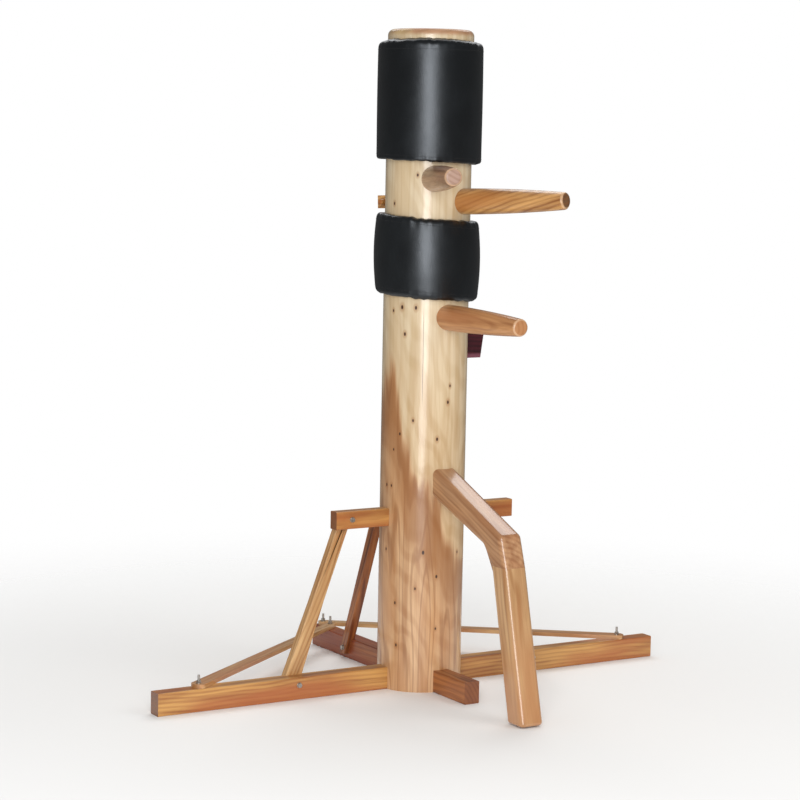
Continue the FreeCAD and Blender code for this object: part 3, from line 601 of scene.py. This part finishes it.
def swell(piece, held):
    """Swell a closed cover by cloth simulation and apply the result. The held points stay."""
    start = [vertex.co.copy() for vertex in piece.data.vertices]
    group = piece.vertex_groups.new(name="held")
    group.add(held, 1.0, "REPLACE")
    cloth = piece.modifiers.new("swell", "CLOTH")
    cloth.settings.vertex_group_mass = "held"
    cloth.settings.quality = 6
    cloth.settings.mass = 0.3
    cloth.settings.tension_stiffness = 25
    cloth.settings.compression_stiffness = 25
    cloth.settings.bending_stiffness = 2
    cloth.settings.use_pressure = True
    cloth.settings.uniform_pressure_force = PRESSURE
    cloth.settings.effector_weights.gravity = 0
    for step in range(1, FRAMES + 1):
        bpy.context.scene.frame_set(step)
    swollen = piece.evaluated_get(bpy.context.evaluated_depsgraph_get()).to_mesh()
    moved = [vertex.co.copy() for vertex in swollen.vertices]
    piece.modifiers.remove(cloth)
    bpy.context.scene.frame_set(1)
    for vertex, begin, end in zip(piece.data.vertices, start, moved):
        shift = end - begin
        if shift.length > CAP:
            shift *= CAP / shift.length
        spot = begin + shift
        flat = Vector((spot.x, spot.y, 0.0))
        if flat.length < TRUNK_RADIUS + CLEAR:
            flat *= (TRUNK_RADIUS + CLEAR) / flat.length
        vertex.co = (flat.x, flat.y, spot.z)
    piece.data.update()


def pad_cover(name, shape):
    """A pad's leather cover, padded out, from the outline turned about the trunk."""
    low, high = (corner.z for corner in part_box(name + "_cover"))
    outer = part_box(name + "_cover")[1].x
    inner = TRUNK_RADIUS + CLEAR
    outline, facing_out = pad_outline(low, high, inner, outer - SWELL_ROOM, shape)
    count = len(outline)
    spots = [pad_point(radius, height, 2 * math.pi * turn / ROUND, low, high, shape)
             for turn in range(ROUND) for radius, height in outline]
    faces = []
    for turn in range(ROUND):
        here, there = turn * count, (turn + 1) % ROUND * count
        for place in range(count):
            after = (place + 1) % count
            faces.append((here + place, there + place, there + after, here + after))
    mesh = bpy.data.meshes.new(name + "_leather")
    mesh.from_pydata(spots, [], faces)
    mesh.shade_smooth()
    piece = bpy.data.objects.new(name + "_leather", mesh)
    bpy.context.scene.collection.objects.link(piece)
    held = [turn * count + place for turn in range(ROUND)
            for place in (0, *range(facing_out - 1, count))]
    swell(piece, held)
    finer = piece.modifiers.new("finer", "SUBSURF")
    finer.levels = 1
    finer.render_levels = 1
    return piece


def surface_of(piece):
    """A search tree of a piece's own mesh, to lay trim on it."""
    mesh = piece.data
    return BVHTree.FromPolygons([v.co for v in mesh.vertices], [p.vertices for p in mesh.polygons])


def on_pad(tree, turn, height, proud):
    """A point on the pad's outside at a heading and height, standing proud by a little."""
    far = 0.3                # a radius well outside every pad
    way = Vector((math.cos(turn), math.sin(turn), 0.0))
    hit = tree.ray_cast(way * far + Vector((0, 0, height)), -way)[0]
    return hit + way * proud


def flap(name, tree, low, high):
    """The closing flap at the back: a leather strip that follows the pad, rounded at its edges."""
    half_angle = math.radians(13)
    columns, rows = 29, 61
    proud, thick, sunk = 0.0004, 0.0019, -0.0006
    spots = []
    for side in (1, -1):
        for row in range(rows):
            height = low + (high - low) * row / (rows - 1)
            for column in range(columns):
                across = 2 * column / (columns - 1) - 1
                upright = 2 * row / (rows - 1) - 1
                thin = max(0.0, 1 - max(abs(across), abs(upright)) ** 24)
                lift = proud + (thick * math.sqrt(thin) if side == 1 else sunk)
                spots.append(on_pad(tree, BACK + half_angle * across, height, lift))
    sheet_size = rows * columns
    faces = []
    for row in range(rows - 1):
        for column in range(columns - 1):
            a = row * columns + column
            quad = (a, a + columns, a + columns + 1, a + 1)
            faces.append(quad)
            faces.append(tuple(sheet_size + corner for corner in reversed(quad)))
    rim = list(range(columns))
    rim += [row * columns + columns - 1 for row in range(1, rows)]
    rim += [(rows - 1) * columns + column for column in range(columns - 2, -1, -1)]
    rim += [row * columns for row in range(rows - 2, 0, -1)]
    for here, there in zip(rim, rim[1:] + rim[:1]):
        faces.append((here, there, sheet_size + there, sheet_size + here))
    mesh = bpy.data.meshes.new(name + "_closure")
    mesh.from_pydata(spots, [], faces)
    mesh.shade_smooth()
    piece = bpy.data.objects.new(name + "_closure", mesh)
    bpy.context.scene.collection.objects.link(piece)
    return piece


def stitch_line(spots, faces, tree, path, proud):
    """Short thread stitches end to end along a path of headings and heights on a pad."""
    thick = 0.0005
    gap = 0.14               # share of a stitch's run that is left free at each end
    sides = 6
    for start, end in zip(path, path[1:]):
        first, last = (on_pad(tree, turn, height, proud) for turn, height in (start, end))
        run = last - first
        a, b = first + run * gap, last - run * gap
        outward = Vector((a.x, a.y, 0.0)).normalized()
        aside = run.normalized().cross(outward).normalized()
        base = len(spots)
        for centre, fullness in ((a, 0.5), (a.lerp(b, 0.3), 1.0), (a.lerp(b, 0.7), 1.0), (b, 0.5)):
            for corner in range(sides):
                angle = corner * 2 * math.pi / sides
                way = outward * math.sin(angle) + aside * math.cos(angle)
                spots.append(centre + thick * fullness * way)
        for ring in range(3):
            for corner in range(sides):
                here = base + ring * sides + corner
                there = base + ring * sides + (corner + 1) % sides
                faces.append((here, there, there + sides, here + sides))
        faces.append(tuple(base + corner for corner in range(sides - 1, -1, -1)))
        faces.append(tuple(base + 3 * sides + corner for corner in range(sides)))


def hem_path(level, skew):
    """Headings and heights of the stitches along a hem, from one edge of the flap to the other."""
    count = 168
    first, sweep = math.radians(104), math.radians(332)
    bulge = 1.24             # a hem's radius over the trunk's
    path = []
    for place in range(count + 1):
        turn = first + sweep * place / count
        aside = math.cos(turn) * SKEW_SIDE.x + math.sin(turn) * SKEW_SIDE.y
        path.append((turn, level - skew * TRUNK_RADIUS * bulge * aside))
    return path


def edge_path(turn, low, high):
    """Headings and heights of the stitches up one long edge of the flap."""
    margin, spacing = 0.025, 0.005
    run = high - low - 2 * margin
    count = round(run / spacing)
    return [(turn, low + margin + run * place / count) for place in range(count + 1)]


def stitching(name, tree, shape, low, high):
    """Rows of stitches round both hems, and up both long edges of the flap."""
    on_leather, on_flap = 0.0003, 0.0024
    half_angle = math.radians(11.4)
    spots, faces = [], []
    levels = (low + shape["bottom"] + 0.006, high - shape["fall"] - shape["top"] - 0.004)
    for level, skew in zip(levels, shape["skew"]):
        stitch_line(spots, faces, tree, hem_path(level, skew), on_leather)
    for edge in (-1, 1):
        stitch_line(spots, faces, tree, edge_path(BACK + edge * half_angle, low, high), on_flap)
    mesh = bpy.data.meshes.new(name + "_stitches")
    mesh.from_pydata(spots, [], faces)
    mesh.shade_smooth()
    piece = bpy.data.objects.new(name + "_stitches", mesh)
    bpy.context.scene.collection.objects.link(piece)
    return piece


leather_finish = leather()
thread_finish = thread()
for name, shape in PADS.items():
    cover = pad_cover(name, shape)
    outside = surface_of(cover)
    flap_low, flap_high = (corner.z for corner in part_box(name + "_flap"))
    low, high = (corner.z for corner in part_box(name + "_cover"))
    closure = flap(name, outside, flap_low + 0.004, flap_high - 0.010)
    stitches = stitching(name, outside, shape, low, high)
    paint(cover, leather_finish)
    paint(closure, leather_finish)
    paint(stitches, thread_finish)
    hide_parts(name + "_cover", name + "_foam")
    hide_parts(name + "_flap")
    for piece in (cover, closure, stitches):
        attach(piece, "frame")


# ------------------------------------------------------------------ floor, light and camera

def floor():
    """A pale floor that fades out a few metres away."""
    reach = 7.0
    solid_to, gone_at = 0.4, 2.4
    mesh = bpy.data.meshes.new("floor")
    corners = [(-reach, -reach, 0), (reach, -reach, 0), (reach, reach, 0), (-reach, reach, 0)]
    mesh.from_pydata(corners, [], [(0, 1, 2, 3)])
    piece = bpy.data.objects.new("floor", mesh)
    bpy.context.scene.collection.objects.link(piece)
    material, tree, shader = new_material("floor")
    away = vector(tree, "LENGTH", add(tree, "TexCoord").outputs["Object"])
    put(tree, shader, "Alpha", spread(tree, away, gone_at, solid_to))
    put(tree, shader, "Base Color", tint("fbfaf8"))
    put(tree, shader, "Roughness", 0.9)
    paint(piece, material)
    piece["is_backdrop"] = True


def softbox(name, azimuth, elevation, distance, width, height, watts, mirrored=True):
    """A rectangular light that faces the object's middle. It can be left out of reflections."""
    aim = Vector((0.0, 0.0, 0.85))
    turn, lift = math.radians(azimuth), math.radians(elevation)
    level = math.cos(lift)
    way = Vector((math.sin(turn) * level, -math.cos(turn) * level, math.sin(lift)))
    light = bpy.data.lights.new(name, "AREA")
    light.shape = "RECTANGLE"
    light.size = width
    light.size_y = height
    light.energy = watts
    lamp = bpy.data.objects.new(name, light)
    bpy.context.scene.collection.objects.link(lamp)
    lamp.location = aim + way * distance
    lamp.rotation_euler = (-way).to_track_quat("-Z", "Y").to_euler()
    lamp.visible_glossy = mirrored


def surroundings():
    """An even white room: full white as backdrop, dimmer as light and dimmest in reflections."""
    world = bpy.data.worlds.new("room")
    bpy.context.scene.world = world
    world.use_nodes = True
    tree = world.node_tree
    as_light, in_reflections = 0.45, 0.12
    rays = add(tree, "LightPath").outputs
    seen = figure(tree, "MULTIPLY_ADD", rays["Is Camera Ray"], 1.0 - as_light, as_light)
    strength = figure(tree, "MULTIPLY_ADD", rays["Is Glossy Ray"], in_reflections - as_light, seen)
    put(tree, tree.nodes["Background"], "Strength", strength)
    put(tree, tree.nodes["Background"], "Color", (1.0, 1.0, 1.0, 1.0))


def camera():
    """The view from the front left, a little above the middle arm."""
    azimuth, distance, height, lens = math.radians(-31.84), 5.76, 1.370, 105.4
    heading, pitch, roll = math.radians(31.25), math.radians(6.505), math.radians(1.07)
    data = bpy.data.cameras.new("camera")
    data.lens = lens
    data.sensor_width = 36.0
    eye = bpy.data.objects.new("camera", data)
    bpy.context.scene.collection.objects.link(eye)
    turned = (Matrix.Rotation(-heading, 4, "Z") @ Matrix.Rotation(math.pi / 2 - pitch, 4, "X")
              @ Matrix.Rotation(roll, 4, "Z"))
    place = Vector((math.sin(azimuth) * distance, -math.cos(azimuth) * distance, height))
    eye.matrix_world = Matrix.Translation(place) @ turned
    bpy.context.scene.camera = eye


floor()
surroundings()
softbox("key", azimuth=-33, elevation=6, distance=3.8, width=1.3, height=2.6, watts=90)
softbox("fill", azimuth=30, elevation=28, distance=4.2, width=2.4, height=2.4, watts=34,
        mirrored=False)
softbox("top", azimuth=150, elevation=52, distance=3.4, width=3.0, height=2.0, watts=56)
camera()
bpy.context.scene.view_settings.view_transform = "Standard"

low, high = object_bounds()
